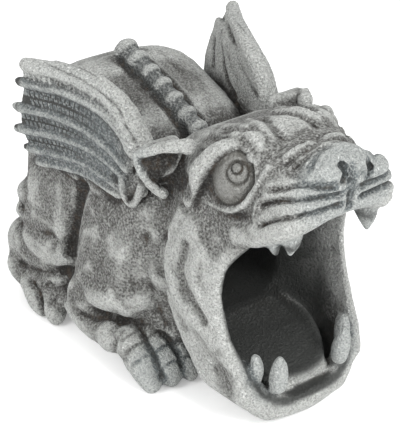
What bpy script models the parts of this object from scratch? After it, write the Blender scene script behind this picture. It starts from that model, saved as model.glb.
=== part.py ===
"""Crouching gargoyle spout: one hollow stone-finish casting, open at the mouth and at the rump."""

import math

import bmesh
import bpy
import numpy as np
from mathutils import Euler, Matrix, Vector
from mathutils.bvhtree import BVHTree

MM = 0.001
GRAIN = 2.6  # size of the grains the clay is fused in, mm
THIN_GRAIN = 2.0  # the same for the wings, ears and teeth, mm
TRIANGLES = 9300  # facets of the finished solid
REAR = 96  # flat face of the rump, mm behind the middle of the back
WELD = 0.05  # corners closer than this are one corner, mm
CREATURES_SIDES = (-1, 1)  # its right side and its left side

LEFT_EAR_RISE = 6  # how much higher the left ear sits than the right one, mm
VERTEBRAE = 8
SPINE_START, SPINE_END = (13, 255), (-111, 207)  # (y, z) of the first and the last vertebra, mm
VERTEBRA = (10.5, 10, 8.4)  # half sizes of the largest vertebra, mm
EYE = (18.5, 22.5, 26)  # half sizes of an eyeball, mm
MEMBRANE = 8  # thickness of the wing between its ribs, mm
RIB_TIP = 9  # how far a rib runs on past the rear edge of the wing, mm
RIB_RELIEF = 3.4  # how far a rib lies outside the middle of the membrane, mm
STONE = (0.24, 0.24, 0.23, 1)


# ---------------------------------------------------------------- clay tools


def clear_scene():
    for obj in list(bpy.data.objects):
        bpy.data.objects.remove(obj)


def pressed(clay, piece):
    """Adds a freshly shaped piece to the lump of clay."""
    mesh = bpy.data.meshes.new("piece")
    piece.to_mesh(mesh)
    piece.free()
    clay.from_mesh(mesh)
    bpy.data.meshes.remove(mesh)


def add_ball(piece, centre, radius, rings):
    place = Matrix.Translation(Vector(centre) * MM)
    bmesh.ops.create_icosphere(piece, subdivisions=rings, radius=radius * MM, matrix=place)


def ball(clay, centre, radii, turn=(0, 0, 0)):
    """Presses an ellipsoid into the clay; centre and radii in mm, turn in degrees."""
    spin = Euler([math.radians(t) for t in turn]).to_matrix().to_4x4()
    place = Matrix.Translation(Vector(centre) * MM) @ spin @ Matrix.Diagonal([r * MM for r in radii] + [1])
    piece = bmesh.new()
    bmesh.ops.create_icosphere(piece, subdivisions=3, radius=1, matrix=place)
    pressed(clay, piece)


def both(clay, out, y, z, radii, turn=(0, 0, 0)):
    """The same ball on the right and the left side of the creature."""
    for side in CREATURES_SIDES:
        ball(clay, (side * out, y, z), radii, (turn[0], side * turn[1], side * turn[2]))


def eased(stations, steps):
    """A smooth run through stations of (x, y, z, radius), as a Catmull-Rom curve."""
    knots = [np.array(s, float) for s in (stations[0], *stations, stations[-1])]
    run = []
    for a, b, c, d in zip(knots, knots[1:], knots[2:], knots[3:]):
        for t in np.arange(steps) / steps:
            bend = (2 * a - 5 * b + 4 * c - d) * t**2 + (3 * b - a - 3 * c + d) * t**3
            run.append(0.5 * (2 * b + (c - a) * t + bend))
    return [*run, knots[-1]]


def add_cone(piece, start, end):
    """Joins two balls of (x, y, z, radius) with a cone."""
    a, b = Vector(start[:3]) * MM, Vector(end[:3]) * MM
    if (b - a).length < WELD * MM:
        return
    aim = (b - a).to_track_quat("Z", "Y").to_matrix().to_4x4()
    bmesh.ops.create_cone(
        piece,
        cap_ends=True,
        segments=16,
        radius1=start[3] * MM,
        radius2=end[3] * MM,
        depth=(b - a).length,
        matrix=Matrix.Translation((a + b) / 2) @ aim,
    )


def roll(clay, stations, steps=4):
    """A roll of clay: balls joined by cones along stations of (x, y, z, radius) in mm."""
    run = eased(stations, steps)
    piece = bmesh.new()
    for *centre, radius in run:
        add_ball(piece, centre, radius, 2)
    for start, end in zip(run, run[1:]):
        add_cone(piece, start, end)
    pressed(clay, piece)


def both_rolls(clay, stations, steps=4):
    """A roll on each side; x in the stations counts outwards from the middle."""
    for side in CREATURES_SIDES:
        roll(clay, [(side * x, y, z, r) for x, y, z, r in stations], steps)


def hull(clay, balls):
    """One taut mass wrapped round balls of (x, y, z, radius) in mm."""
    mass = bmesh.new()
    for *centre, radius in balls:
        add_ball(mass, centre, radius, 3 if radius > 20 else 2)
    skin = bmesh.ops.convex_hull(mass, input=mass.verts)
    inside = skin["geom_interior"] + skin["geom_unused"]
    spare = {g for g in inside if isinstance(g, bmesh.types.BMVert)}
    bmesh.ops.delete(mass, geom=list(spare), context="VERTS")
    pressed(clay, mass)


def across(clay, balls):
    """One taut mass that spans both sides; x counts outwards and each ball is mirrored."""
    hull(clay, [(side * x, y, z, r) for side in CREATURES_SIDES for x, y, z, r in balls])


def both_hulls(clay, balls):
    """The same taut mass on the right and the left side."""
    for side in CREATURES_SIDES:
        hull(clay, [(side * x, y, z, r) for x, y, z, r in balls])


def loose_object(clay, name):
    mesh = bpy.data.meshes.new(name)
    clay.to_mesh(mesh)
    clay.free()
    obj = bpy.data.objects.new(name, mesh)
    bpy.context.scene.collection.objects.link(obj)
    return obj


def evaluated(obj):
    """The object's finished mesh as clay to go on working; the object itself goes."""
    graph = bpy.context.evaluated_depsgraph_get()
    mesh = bpy.data.meshes.new_from_object(obj.evaluated_get(graph))
    bpy.data.objects.remove(obj)
    clay = bmesh.new()
    clay.from_mesh(mesh)
    bpy.data.meshes.remove(mesh)
    return clay


def fused(clay, grain, passes):
    """The clay as one skin, its creases softened by that many passes."""
    obj = loose_object(clay, "fusing")
    remesh = obj.modifiers.new("Fuse", "REMESH")
    remesh.mode = "VOXEL"
    remesh.voxel_size = grain * MM
    soften = obj.modifiers.new("Soften", "SMOOTH")
    soften.factor = 0.5
    soften.iterations = passes
    return evaluated(obj)


def carved(clay, cutter, how="DIFFERENCE"):
    """The clay with the cutter's shape taken out of it, or kept where INTERSECT is asked."""
    body, tool = loose_object(clay, "body"), loose_object(cutter, "tool")
    cut = body.modifiers.new("Carve", "BOOLEAN")
    cut.operation = how
    cut.object = tool
    clay = evaluated(body)
    bpy.data.objects.remove(tool)
    return clay


def distance_to_run(points, run):
    """Distance in mm from each point to a run of short straight pieces."""
    best = np.full(len(points), np.inf)
    for a, b in zip(run, run[1:]):
        along = b - a
        length = along @ along
        t = np.clip((points - a) @ along / length, 0, 1) if length else np.zeros(len(points))
        best = np.minimum(best, np.linalg.norm(points - a - t[:, None] * along, axis=1))
    return best


def stroke(clay, stations, radius, depth, sides=CREATURES_SIDES):
    """Draws a tool over the skin through stations of (x, y, z): above 0 mm a fold, below 0 mm a groove."""
    clay.normal_update()
    clay.verts.ensure_lookup_table()
    skin = BVHTree.FromBMesh(clay)
    points = np.array([v.co for v in clay.verts]) / MM
    for side in sides:
        run = [Vector((side * x, y, z)) * MM for x, y, z, _ in eased([(*s, 0) for s in stations], 6)]
        run = np.array([skin.find_nearest(p)[0] for p in run]) / MM
        reach = 2.5 * radius
        near = np.flatnonzero(np.all((points > run.min(0) - reach) & (points < run.max(0) + reach), axis=1))
        lift = depth * np.exp(-((distance_to_run(points[near], run) / radius) ** 2))
        moves = [(clay.verts[i], clay.verts[i].normal * float(a) * MM) for i, a in zip(near, lift)]
        for vert, move in moves:
            vert.co += move


# ---------------------------------------------------------------- the forms, in mm


def trunk():
    """The hunched, loaf-shaped body with the shoulders and the root of the neck."""
    clay = bmesh.new()
    across(clay, [(29, 13, 190, 57), (38, 18, 110, 46), (40, 24, 34, 46), (20, 40, 186, 52),
                  (32, 52, 165, 48), (38, 54, 110, 46), (42, 54, 34, 46), (30, -48, 178, 50),
                  (36, -50, 120, 46), (38, -50, 34, 46)])
    across(clay, [(30, -60, 170, 47), (36, -60, 36, 46), (36, -96, 158, 46), (34, -105, 100, 44),
                  (34, -105, 34, 44)])
    return clay


def cranium_and_muzzle(clay):
    across(clay, [(20, -142, 196, 40), (22, -165, 210, 40), (22, -206, 228, 38), (34, -198, 202, 28),
                  (30, -150, 150, 40)])
    across(clay, [(18, -215, 232, 30), (12, -243, 236, 24), (8, -266, 240, 18), (34, -228, 212, 24),
                  (35, -269, 225, 18), (36, -248, 226, 19)])
    # lip pads, the left one a little fuller
    both_rolls(clay, [(56, -222, 187, 11), (51, -248, 199, 13), (42, -271, 219, 15), (22, -277, 225, 13),
                      (0, -276, 226, 11)])
    hull(clay, [(47, -269, 210, 14), (38, -272, 234, 14), (30, -278, 243, 13), (12, -272, 246, 14),
                (10, -276, 226, 12)])
    # under the eyes
    both_hulls(clay, [(48, -182, 188, 15), (48, -206, 194, 12), (44, -224, 200, 12), (50, -216, 180, 12),
                      (55, -200, 172, 12)])


def jaws(clay):
    """The wide bell of the lower jaw and the cheeks, still solid."""
    across(clay, [(50, -230, 38, 18), (38, -240, 18, 13), (0, -244, 14, 12), (50, -196, 46, 26),
                  (30, -182, 28, 26), (54, -160, 76, 20)])
    both_rolls(clay, [(60, -236, 36, 11), (62, -229, 58, 10), (65, -216, 84, 9), (66, -206, 112, 9),
                      (64, -204, 138, 9), (58, -210, 162, 10), (50, -220, 180, 11)])
    across(clay, [(62, -196, 150, 11), (66, -194, 120, 10), (66, -200, 92, 10), (62, -214, 66, 10),
                  (60, -170, 172, 14), (62, -156, 135, 15), (64, -158, 95, 16), (60, -172, 66, 16),
                  (50, -150, 150, 20), (40, -130, 100, 20)])


def hind_legs(clay):
    """Folded hind legs: heavy thigh, tucked knee, hock and the top of a long foot."""
    both_hulls(clay, [(72, 44, 134, 20), (71, 4, 140, 19), (75, 38, 102, 21), (77, 4, 100, 19)])
    both_hulls(clay, [(78, 46, 76, 22), (81, 2, 76, 17), (80, 24, 64, 20), (78, 66, 84, 14),
                      (77, 62, 118, 12)])
    both(clay, 84, 62, 113, (12, 14, 13))
    both(clay, 84, 66, 92, (13, 14, 11))
    both(clay, 82, 72, 54, (20, 26, 26))
    both_hulls(clay, [(80, 64, 52, 21), (84, 42, 38, 17), (82, 10, 46, 15), (86, 44, 28, 17)])
    both_rolls(clay, [(86, 72, 30, 20), (90, 48, 24, 16), (92, 30, 24, 14)])


def fore_legs(clay):
    """Folded forelegs: shoulder, upper arm bulging over the forearm that lies on the ground."""
    both_hulls(clay, [(61, -58, 150, 22), (66, -96, 148, 18), (70, -98, 116, 18), (79, -84, 104, 15),
                      (79, -92, 92, 16)])
    both_hulls(clay, [(68, -44, 112, 22), (80, -32, 60, 16), (78, -60, 80, 18), (70, -62, 126, 20)])
    both_hulls(clay, [(82, -50, 64, 15), (81, -88, 78, 18), (80, -98, 70, 16), (79, -92, 94, 15),
                      (72, -64, 96, 18), (66, -50, 110, 20)])
    both_rolls(clay, [(84, -48, 64, 15), (83, -80, 70, 18), (74, -106, 78, 17), (64, -120, 88, 13)])
    both_rolls(clay, [(86, -22, 32, 16), (88, -50, 28, 17), (84, -84, 30, 18), (72, -104, 30, 18)])
    both_rolls(clay, [(72, -30, 14, 16), (72, -60, 14, 16), (66, -100, 14, 16)])
    both_hulls(clay, [(86, -22, 34, 16), (83, -32, 58, 15), (88, -46, 46, 15)])
    both(clay, 90, -86, 31, (17, 20, 17))
    # the crease between arm and cheek is shallow
    both_hulls(clay, [(64, -106, 150, 15), (56, -128, 144, 16), (58, -126, 104, 18), (72, -104, 104, 14)])
    both(clay, 56, -178, 180, (12, 14, 11))


def toes(clay):
    """Two toes show on each hind foot and three on each fore foot."""
    both_rolls(clay, [(98, 46, 26, 11), (101, 34, 20, 10.5), (103, 27, 14, 9.5), (102, 20, 8, 7.5)])
    both_rolls(clay, [(84, 38, 28, 13), (87, 22, 25, 15), (92, 13, 19, 13), (96, 7, 12, 12),
                      (98, 1, 8, 8.5)])
    both_hulls(clay, [(94, 40, 20, 14), (86, 10, 22, 12), (84, -6, 30, 12), (98, 26, 12, 10)])
    both_rolls(clay, [(86, -92, 31, 14), (86, -106, 33, 16.5), (88, -126, 22, 15.5), (89, -141, 8, 9.5)])
    both_rolls(clay, [(70, -106, 37, 15), (70, -120, 36, 15.5), (71, -138, 22, 14), (70, -145, 8, 9)])
    both_rolls(clay, [(58, -116, 34, 12), (57, -132, 30, 13), (55, -143, 17, 11), (52, -149, 8, 8)])
    both_hulls(clay, [(84, -100, 28, 13), (72, -108, 31, 14), (60, -116, 30, 12), (83, -126, 16, 12),
                      (64, -134, 17, 11)])


def passage():
    """The way the water takes: in at the rump, through the belly, over the tongue and out."""
    space = bmesh.new()
    across(space, [(48, -268, 184, 6), (0, -284, 200, 8), (56, -216, 150, 8), (56, -220, 85, 8),
                   (58, -206, 120, 8), (46, -245, 44, 6), (30, -262, 32, 6), (20, -150, 150, 20),
                   (26, -150, 90, 20), (50, -190, 60, 8), (36, -190, 40, 10)])
    across(space, [(24, -140, 130, 24), (24, -140, 84, 24), (30, -60, 160, 34), (36, -60, 90, 34)])
    across(space, [(26, 16, 190, 44), (20, 40, 186, 40), (32, 50, 165, 36), (38, 50, 92, 34),
                   (38, 18, 92, 34), (28, -50, 172, 36), (36, -50, 90, 34)])
    across(space, [(40, 40, 127, 16), (40, 40, 73, 16), (40, 140, 127, 16), (40, 140, 73, 16)])
    return space


def tongue_and_lip(clay):
    """The tongue lies in the lower jaw behind a thick, rounded lip."""
    across(clay, [(18, -234, 32, 12), (33, -214, 38, 10), (42, -190, 46, 9), (42, -155, 54, 9),
                  (20, -145, 46, 9), (30, -180, 18, 8)])
    both_rolls(clay, [(0, -247, 17, 9.5), (20, -246, 19, 9.5), (38, -241, 28, 9), (51, -234, 42, 8),
                      (57, -227, 60, 7)])


def nose(clay):
    across(clay, [(12, -272, 250, 14), (22, -266, 246, 11), (6, -268, 250, 16), (8, -250, 250, 13)])


def eyes(clay):
    """Bulging eyeballs in their lids, under brows that end in a curl and a knob."""
    both(clay, 46, -206, 226, EYE)
    both_rolls(clay, [(61, -164, 192, 6.5), (66, -175, 220, 8), (63, -184, 237, 8), (56, -193, 249, 7.5),
                      (44, -205, 254, 5)])
    both(clay, 40.5, -197, 256, (8, 8, 7))
    ball(clay, (44, -208, 250), (9.5, 10, 9.5))
    both_rolls(clay, [(35, -205, 258, 7.5), (34, -213, 258, 8), (36, -220, 254, 6.5),
                      (44, -218, 248, 4.5)])
    both_rolls(clay, [(60, -176, 199, 4), (61, -198, 204, 3.2), (60, -218, 209, 3.2),
                      (53, -234, 228, 3.6), (41, -237, 247, 4)])


def teeth(clay):
    """Fangs above, of which the left one is the larger, and blunt pegs below."""
    roll(clay, [(-41, -262, 203, 9), (-41, -265, 196, 6), (-42, -266, 185, 1.8)])
    roll(clay, [(-49, -253, 202, 7), (-50, -255, 193, 5), (-51, -257, 182, 1.8)])
    roll(clay, [(40, -262, 200, 11), (41, -264, 190, 8), (42, -264, 177, 2)])
    both_rolls(clay, [(35, -248, 44, 8), (35, -249, 56, 9), (36, -251, 67, 7.5), (37, -252, 77, 3.5)])
    both_rolls(clay, [(49, -236, 52, 6), (49, -236, 63, 6.5), (50, -236, 72, 3.5)])


def ears(clay):
    """Pointed ears, each a rim bent round a hollow."""
    for side, rise in zip(CREATURES_SIDES, (0, LEFT_EAR_RISE)):
        upper = [(89, -126, 229, 3.5), (76, -144, 238, 5.5), (62, -162, 242, 7)]
        lower = [(89, -126, 227, 3.5), (79, -132, 201, 4.5), (72, -139, 193, 5)]
        back = [(87, -124, 228, 3), (80, -131, 234, 5), (66, -146, 236, 8), (56, -130, 230, 8),
                (58, -126, 202, 9), (74, -122, 198, 5), (80, -117, 214, 5)]
        for shape, run in ((roll, upper), (roll, lower), (hull, back)):
            shape(clay, [(side * x, y, z + rise, r) for x, y, z, r in run])
    # the point of the left ear
    hull(clay, [(80, -143, 247, 2.5), (56, -136, 232, 8), (64, -162, 238, 7), (60, -130, 220, 8),
                (76, -138, 228, 5)])


def ear_hollows():
    clay = bmesh.new()
    for side, rise in zip(CREATURES_SIDES, (0, LEFT_EAR_RISE)):
        scoop = [(83, -131, 223, 3), (74, -142, 230, 4), (66, -149, 231, 5), (64, -152, 216, 5),
                 (65, -146, 200, 5), (72, -138, 202, 4), (98, -160, 232, 5), (80, -178, 234, 6),
                 (78, -180, 200, 6), (92, -166, 206, 5)]
        hull(clay, [(side * x, y, z + rise, r) for x, y, z, r in scoop])
    return clay


def spine(clay):
    """Wide vertebrae on one low ridge, smaller towards the nape."""
    ridge = []
    for i in range(VERTEBRAE):
        t = i / (VERTEBRAE - 1)
        y = SPINE_START[0] + (SPINE_END[0] - SPINE_START[0]) * t
        z = SPINE_START[1] + (SPINE_END[1] - SPINE_START[1]) * t**1.1
        bulk = 1.08 - 0.16 * t
        ridge.append((0, y, z - 2, 8.5 * bulk))
        ball(clay, (0, y, z), [bulk * r for r in VERTEBRA], (-22, 0, 12))
    roll(clay, ridge)


WING_RIBS = (  # (x, y, z) from the tip to the root, the top bar first
    [(113, 1, 272), (94, -29, 268), (80, -65, 259), (75, -92, 242), (72, -108, 216)],
    [(107, 8, 252), (95, -34, 255), (84, -68, 249), (79, -90, 237), (76, -105, 219)],
    [(105, 21, 223), (96, -22, 228), (87, -56, 224), (81, -83, 214), (78, -100, 203)],
    [(103, 25, 200), (95, -19, 208), (87, -52, 208), (82, -76, 203), (78, -95, 194)],
    [(99, 16, 183), (93, -8, 186), (88, -39, 190), (84, -64, 188), (79, -90, 182)],
    [(94, 12, 170), (90, -17, 176), (86, -50, 181), (83, -69, 178), (79, -89, 174)],
)


def wings(clay):
    """Bat wings folded back along the flanks: ribs with membranes stretched between them."""
    for upper, lower in zip(WING_RIBS, WING_RIBS[1:]):
        for corners in zip(upper, upper[1:], lower[1:], lower):
            both_hulls(clay, [(*corner, MEMBRANE / 2) for corner in corners])
    for rib in WING_RIBS[1:]:
        tip, inner = np.array(rib[0]), np.array(rib[1])
        tip = tip + (tip - inner) / np.linalg.norm(tip - inner) * RIB_TIP
        stations = zip((tip, *rib), (3.5, 4.8, 4.4, 4.2, 4, 4))
        both_rolls(clay, [(x + RIB_RELIEF, y, z, r) for (x, y, z), r in stations])
    both_rolls(clay, [(*corner, r) for corner, r in zip(WING_RIBS[0], (6.5, 8.5, 9.5, 9.5, 8.5))])
    both_rolls(clay, [(95, -17, 272, 5), (84, -43, 269, 6.5), (71, -86, 251, 8), (66, -109, 222, 8)])


def wing_roots(clay):
    """The inner sides of the wings and the flanks they grow from, with a small cup at each root."""
    both_hulls(clay, [(88, 15, 174, 5), (80, -60, 182, 5), (74, -100, 184, 5), (86, 12, 194, 4),
                      (80, -60, 200, 4), (70, 12, 190, 9), (68, -60, 186, 9), (66, -100, 176, 8),
                      (74, 10, 160, 8), (74, -60, 160, 8)])
    both_hulls(clay, [(97, 1, 262, 4), (84, -29, 262, 6), (72, -65, 254, 7), (68, -90, 240, 7),
                      (66, -106, 218, 7), (97, 16, 224, 4), (94, 16, 200, 4), (84, -20, 200, 5),
                      (74, -56, 200, 6), (70, -95, 190, 7)])
    both_rolls(clay, [(82, -95, 190, 5), (83, -99, 177, 3.5), (81, -105, 171, 3.5), (80, -112, 178, 3.5),
                      (79, -117, 192, 4)])
    both_hulls(clay, [(78, -96, 186, 4), (77, -106, 177, 3), (75, -116, 184, 3), (72, -112, 200, 6),
                      (70, -100, 190, 8)])


def folds(clay):
    """Folds of skin round the mouth, grooves along the lip pads, and the creases behind the legs."""
    stroke(clay, [(65, -161, 188), (73, -144, 132), (77, -158, 116), (75, -202, 88),
                  (71, -215, 78)], 7, 3.5)
    stroke(clay, [(68, -181, 177), (77, -167, 134), (77, -177, 118), (75, -206, 94)], 6, -3.5)
    stroke(clay, [(56, -240, 219), (52, -257, 230), (43, -275, 236), (5, -287, 235)], 3, -4)
    stroke(clay, [(61, -243, 205), (55, -262, 216), (46, -279, 225), (5, -287, 226)], 3, -4)
    stroke(clay, [(0, -288, 238), (0, -283, 213)], 4, -3)
    stroke(clay, [(94, -42, 170), (83, -24, 120), (86, -12, 78)], 6, -7)
    stroke(clay, [(98, 58, 43), (88, 16, 51), (90, -26, 68)], 5.5, -5)
    stroke(clay, [(98, -50, 41), (90, -84, 48), (76, -116, 62), (74, -124, 74)], 5, -5)
    stroke(clay, [(76, -118, 150), (74, -123, 101), (65, -138, 50)], 6, -5)


def statue():
    """All the forms fused in turn, the passage carved through before the thin features are laid on."""
    clay = fused(trunk(), GRAIN, 10)
    cranium_and_muzzle(clay)
    jaws(clay)
    clay = fused(clay, GRAIN, 8)
    hind_legs(clay)
    fore_legs(clay)
    clay = fused(clay, GRAIN, 9)
    clay = carved(clay, fused(passage(), GRAIN, 6))
    tongue_and_lip(clay)
    nose(clay)
    toes(clay)
    eyes(clay)
    clay = fused(clay, GRAIN, 3)
    teeth(clay)
    ears(clay)
    spine(clay)
    wings(clay)
    wing_roots(clay)
    clay = carved(fused(clay, THIN_GRAIN, 1), ear_hollows())
    clay = fused(clay, THIN_GRAIN, 1)
    folds(clay)
    return clay


def decimated(clay, triangles):
    """The same skin with fewer, larger facets."""
    obj = loose_object(clay, "coarse")
    obj.data.calc_loop_triangles()
    thin = obj.modifiers.new("Facets", "DECIMATE")
    thin.ratio = triangles / len(obj.data.loop_triangles)
    return evaluated(obj)


def trimmed(clay):
    """Sliced flat underneath to stand, and flat at the rump round the inlet."""
    slab = bmesh.new()
    reach = Vector((400, 800, 400)) * MM
    middle = Vector((0, REAR * MM - reach.y / 2, reach.z / 2))
    bmesh.ops.create_cube(slab, size=1, matrix=Matrix.Translation(middle) @ Matrix.Diagonal([*reach, 1]))
    return carved(clay, slab, "INTERSECT")


def centred(clay):
    """Moved so that the origin lies under the middle of its length."""
    ys = [v.co.y for v in clay.verts]
    bmesh.ops.translate(clay, verts=clay.verts, vec=(0, -(min(ys) + max(ys)) / 2, 0))
    return clay


def stone():
    """Weathered mid-grey stone finish."""
    material = bpy.data.materials.new("cast stone grey")
    material.use_nodes = True
    shader = material.node_tree.nodes["Principled BSDF"]
    shader.inputs["Base Color"].default_value = STONE
    shader.inputs["Roughness"].default_value = 0.85
    shader.inputs["Metallic"].default_value = 0
    return material


def main():
    clear_scene()
    clay = centred(trimmed(decimated(statue(), TRIANGLES)))
    bmesh.ops.remove_doubles(clay, verts=clay.verts, dist=WELD * MM)
    bmesh.ops.triangulate(clay, faces=clay.faces)
    bmesh.ops.recalc_face_normals(clay, faces=clay.faces)
    mesh = bpy.data.meshes.new("gargoyle")
    clay.to_mesh(mesh)
    clay.free()
    home = bpy.data.collections.new("stone_gargoyle")
    bpy.context.scene.collection.children.link(home)
    obj = bpy.data.objects.new("gargoyle", mesh)
    home.objects.link(obj)
    obj.data.materials.append(stone())


main()
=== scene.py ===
import math

import bmesh
import bpy
import numpy as np
from mathutils import Euler, Matrix, Vector, noise
from mathutils.bvhtree import BVHTree


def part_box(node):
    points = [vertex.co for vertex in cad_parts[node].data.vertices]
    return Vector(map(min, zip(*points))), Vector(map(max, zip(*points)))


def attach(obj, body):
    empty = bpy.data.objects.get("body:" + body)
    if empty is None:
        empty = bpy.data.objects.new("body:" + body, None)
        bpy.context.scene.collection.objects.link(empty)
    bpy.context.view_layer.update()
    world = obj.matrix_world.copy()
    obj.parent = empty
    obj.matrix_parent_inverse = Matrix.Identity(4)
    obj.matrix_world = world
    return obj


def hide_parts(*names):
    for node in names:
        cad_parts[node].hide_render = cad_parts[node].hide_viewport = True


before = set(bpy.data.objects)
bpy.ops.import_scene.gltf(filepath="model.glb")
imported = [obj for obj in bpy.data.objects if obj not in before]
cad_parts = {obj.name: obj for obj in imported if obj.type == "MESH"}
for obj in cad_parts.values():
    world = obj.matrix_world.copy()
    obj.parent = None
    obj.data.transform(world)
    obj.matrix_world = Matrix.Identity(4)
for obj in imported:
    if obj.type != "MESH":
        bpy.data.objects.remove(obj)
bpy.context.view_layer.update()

# The body: a hunched loaf with the shoulders and the root of the neck. The whole gargoyle is one hollow
# casting of stone-filled resin. Its pattern is modelled in soft clay, from plain masses blended together.
# It is worked here in millimetres about the middle of the back, with the ground at zero and the face to -Y.

MM = 0.001
RIGHT_AND_LEFT = (-1, 1)
BROAD_GRAIN = 2.6  # how finely the broad masses are blended
BIG_BALL = 20  # balls larger than this are made one step rounder


def pressed(clay, piece):
    """Adds a freshly shaped piece to the lump of clay."""
    mesh = bpy.data.meshes.new("piece")
    piece.to_mesh(mesh)
    piece.free()
    clay.from_mesh(mesh)
    bpy.data.meshes.remove(mesh)


def add_ball(piece, centre, radius, rings):
    place = Matrix.Translation(Vector(centre) * MM)
    bmesh.ops.create_icosphere(piece, subdivisions=rings, radius=radius * MM, matrix=place)


def hull(clay, balls):
    """One taut mass wrapped round balls of (x, y, z, radius)."""
    mass = bmesh.new()
    for *centre, radius in balls:
        add_ball(mass, centre, radius, 3 if radius > BIG_BALL else 2)
    skin = bmesh.ops.convex_hull(mass, input=mass.verts)
    spare = {g for g in skin["geom_interior"] + skin["geom_unused"] if isinstance(g, bmesh.types.BMVert)}
    bmesh.ops.delete(mass, geom=list(spare), context="VERTS")
    pressed(clay, mass)


def across(clay, balls):
    """One taut mass that spans both sides; x counts outwards and each ball is mirrored."""
    hull(clay, [(side * x, y, z, r) for side in RIGHT_AND_LEFT for x, y, z, r in balls])


def loose_object(clay, name):
    mesh = bpy.data.meshes.new(name)
    clay.to_mesh(mesh)
    clay.free()
    obj = bpy.data.objects.new(name, mesh)
    bpy.context.scene.collection.objects.link(obj)
    return obj


def evaluated(obj):
    """The object's finished mesh as clay to work on; the object itself goes."""
    graph = bpy.context.evaluated_depsgraph_get()
    mesh = bpy.data.meshes.new_from_object(obj.evaluated_get(graph))
    bpy.data.objects.remove(obj)
    clay = bmesh.new()
    clay.from_mesh(mesh)
    bpy.data.meshes.remove(mesh)
    return clay


def fused(clay, grain, passes):
    """The clay as one skin with its creases softened."""
    obj = loose_object(clay, "fusing")
    remesh = obj.modifiers.new("Fuse", "REMESH")
    remesh.mode = "VOXEL"
    remesh.voxel_size = grain * MM
    if passes:
        soften = obj.modifiers.new("Soften", "SMOOTH")
        soften.factor = 0.5
        soften.iterations = passes
    return evaluated(obj)


clay = bmesh.new()
across(clay, [(29, 13, 190, 57), (38, 18, 110, 46), (40, 24, 34, 46), (20, 40, 186, 52),
              (32, 52, 165, 48), (38, 54, 110, 46), (42, 54, 34, 46), (30, -48, 178, 50),
              (36, -50, 120, 46), (38, -50, 34, 46)])
across(clay, [(30, -60, 170, 47), (36, -60, 36, 46), (36, -96, 158, 46), (34, -105, 100, 44),
              (34, -105, 34, 44)])
clay = fused(clay, BROAD_GRAIN, passes=10)

# The head: a broad cranium, a boxy muzzle with thick lip pads, and jaws gaping like the bell of a horn. It
# is part of the same casting, runs into the shoulders without a neck, and rests its chin on the ground.


def eased(stations, steps):
    """A smooth run through stations of (x, y, z, radius), as a Catmull-Rom curve."""
    knots = [np.array(s, float) for s in (stations[0], *stations, stations[-1])]
    run = []
    for a, b, c, d in zip(knots, knots[1:], knots[2:], knots[3:]):
        for t in np.arange(steps) / steps:
            bend, twist = 2 * a - 5 * b + 4 * c - d, 3 * b - a - 3 * c + d
            run.append(0.5 * (2 * b + (c - a) * t + bend * t**2 + twist * t**3))
    return [*run, knots[-1]]


ROLL_STEPS = 4  # cones between two stations of a roll
ROLL_SIDES = 16


def roll(clay, stations):
    """A roll of clay: balls joined by cones along stations of (x, y, z, radius)."""
    run = eased(stations, ROLL_STEPS)
    piece = bmesh.new()
    for *centre, radius in run:
        add_ball(piece, centre, radius, 2)
    for start, end in zip(run, run[1:]):
        a, b = Vector(start[:3]) * MM, Vector(end[:3]) * MM
        if (b - a).length < 1e-6:
            continue
        aim = (b - a).to_track_quat("Z", "Y").to_matrix().to_4x4()
        bmesh.ops.create_cone(
            piece,
            cap_ends=True,
            segments=ROLL_SIDES,
            radius1=start[3] * MM,
            radius2=end[3] * MM,
            depth=(b - a).length,
            matrix=Matrix.Translation((a + b) / 2) @ aim,
        )
    pressed(clay, piece)


def both_rolls(clay, stations):
    """A roll on each side; x in the stations counts outwards from the middle."""
    for side in RIGHT_AND_LEFT:
        roll(clay, [(side * x, y, z, r) for x, y, z, r in stations])


def both_hulls(clay, balls):
    """The same taut mass on the right and the left side."""
    for side in RIGHT_AND_LEFT:
        hull(clay, [(side * x, y, z, r) for x, y, z, r in balls])


across(clay, [(20, -142, 196, 40), (22, -165, 210, 40), (22, -206, 228, 38), (34, -198, 202, 28),
              (30, -150, 150, 40)])
across(clay, [(18, -215, 232, 30), (12, -243, 236, 24), (8, -266, 240, 18), (34, -228, 212, 24),
              (35, -269, 225, 18), (36, -248, 226, 19)])
both_rolls(clay, [(56, -222, 187, 11), (51, -248, 199, 13), (42, -271, 219, 15), (22, -277, 225, 13),
                  (0, -276, 226, 11)])
across(clay, [(50, -230, 38, 18), (38, -240, 18, 13), (0, -244, 14, 12), (50, -196, 46, 26),
              (30, -182, 28, 26), (54, -160, 76, 20)])
both_rolls(clay, [(60, -236, 36, 11), (62, -229, 58, 10), (65, -216, 84, 9), (66, -206, 112, 9),
                  (64, -204, 138, 9), (58, -210, 162, 10), (50, -220, 180, 11)])
across(clay, [(62, -196, 150, 11), (66, -194, 120, 10), (66, -200, 92, 10), (62, -214, 66, 10),
              (60, -170, 172, 14), (62, -156, 135, 15), (64, -158, 95, 16), (60, -172, 66, 16),
              (50, -150, 150, 20), (40, -130, 100, 20)])
hull(clay, [(47, -269, 210, 14), (38, -272, 234, 14), (30, -278, 243, 13), (12, -272, 246, 14),
            (10, -276, 226, 12)])
both_hulls(clay, [(48, -182, 188, 15), (48, -206, 194, 12), (44, -224, 200, 12), (50, -216, 180, 12),
                  (55, -200, 172, 12)])
clay = fused(clay, BROAD_GRAIN, passes=8)

# The legs: part of the casting, folded under the body. The hind leg is a heavy thigh over a tucked knee and
# a hock; the upper arm of the foreleg bulges over the forearm, which lies along the ground.


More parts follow.
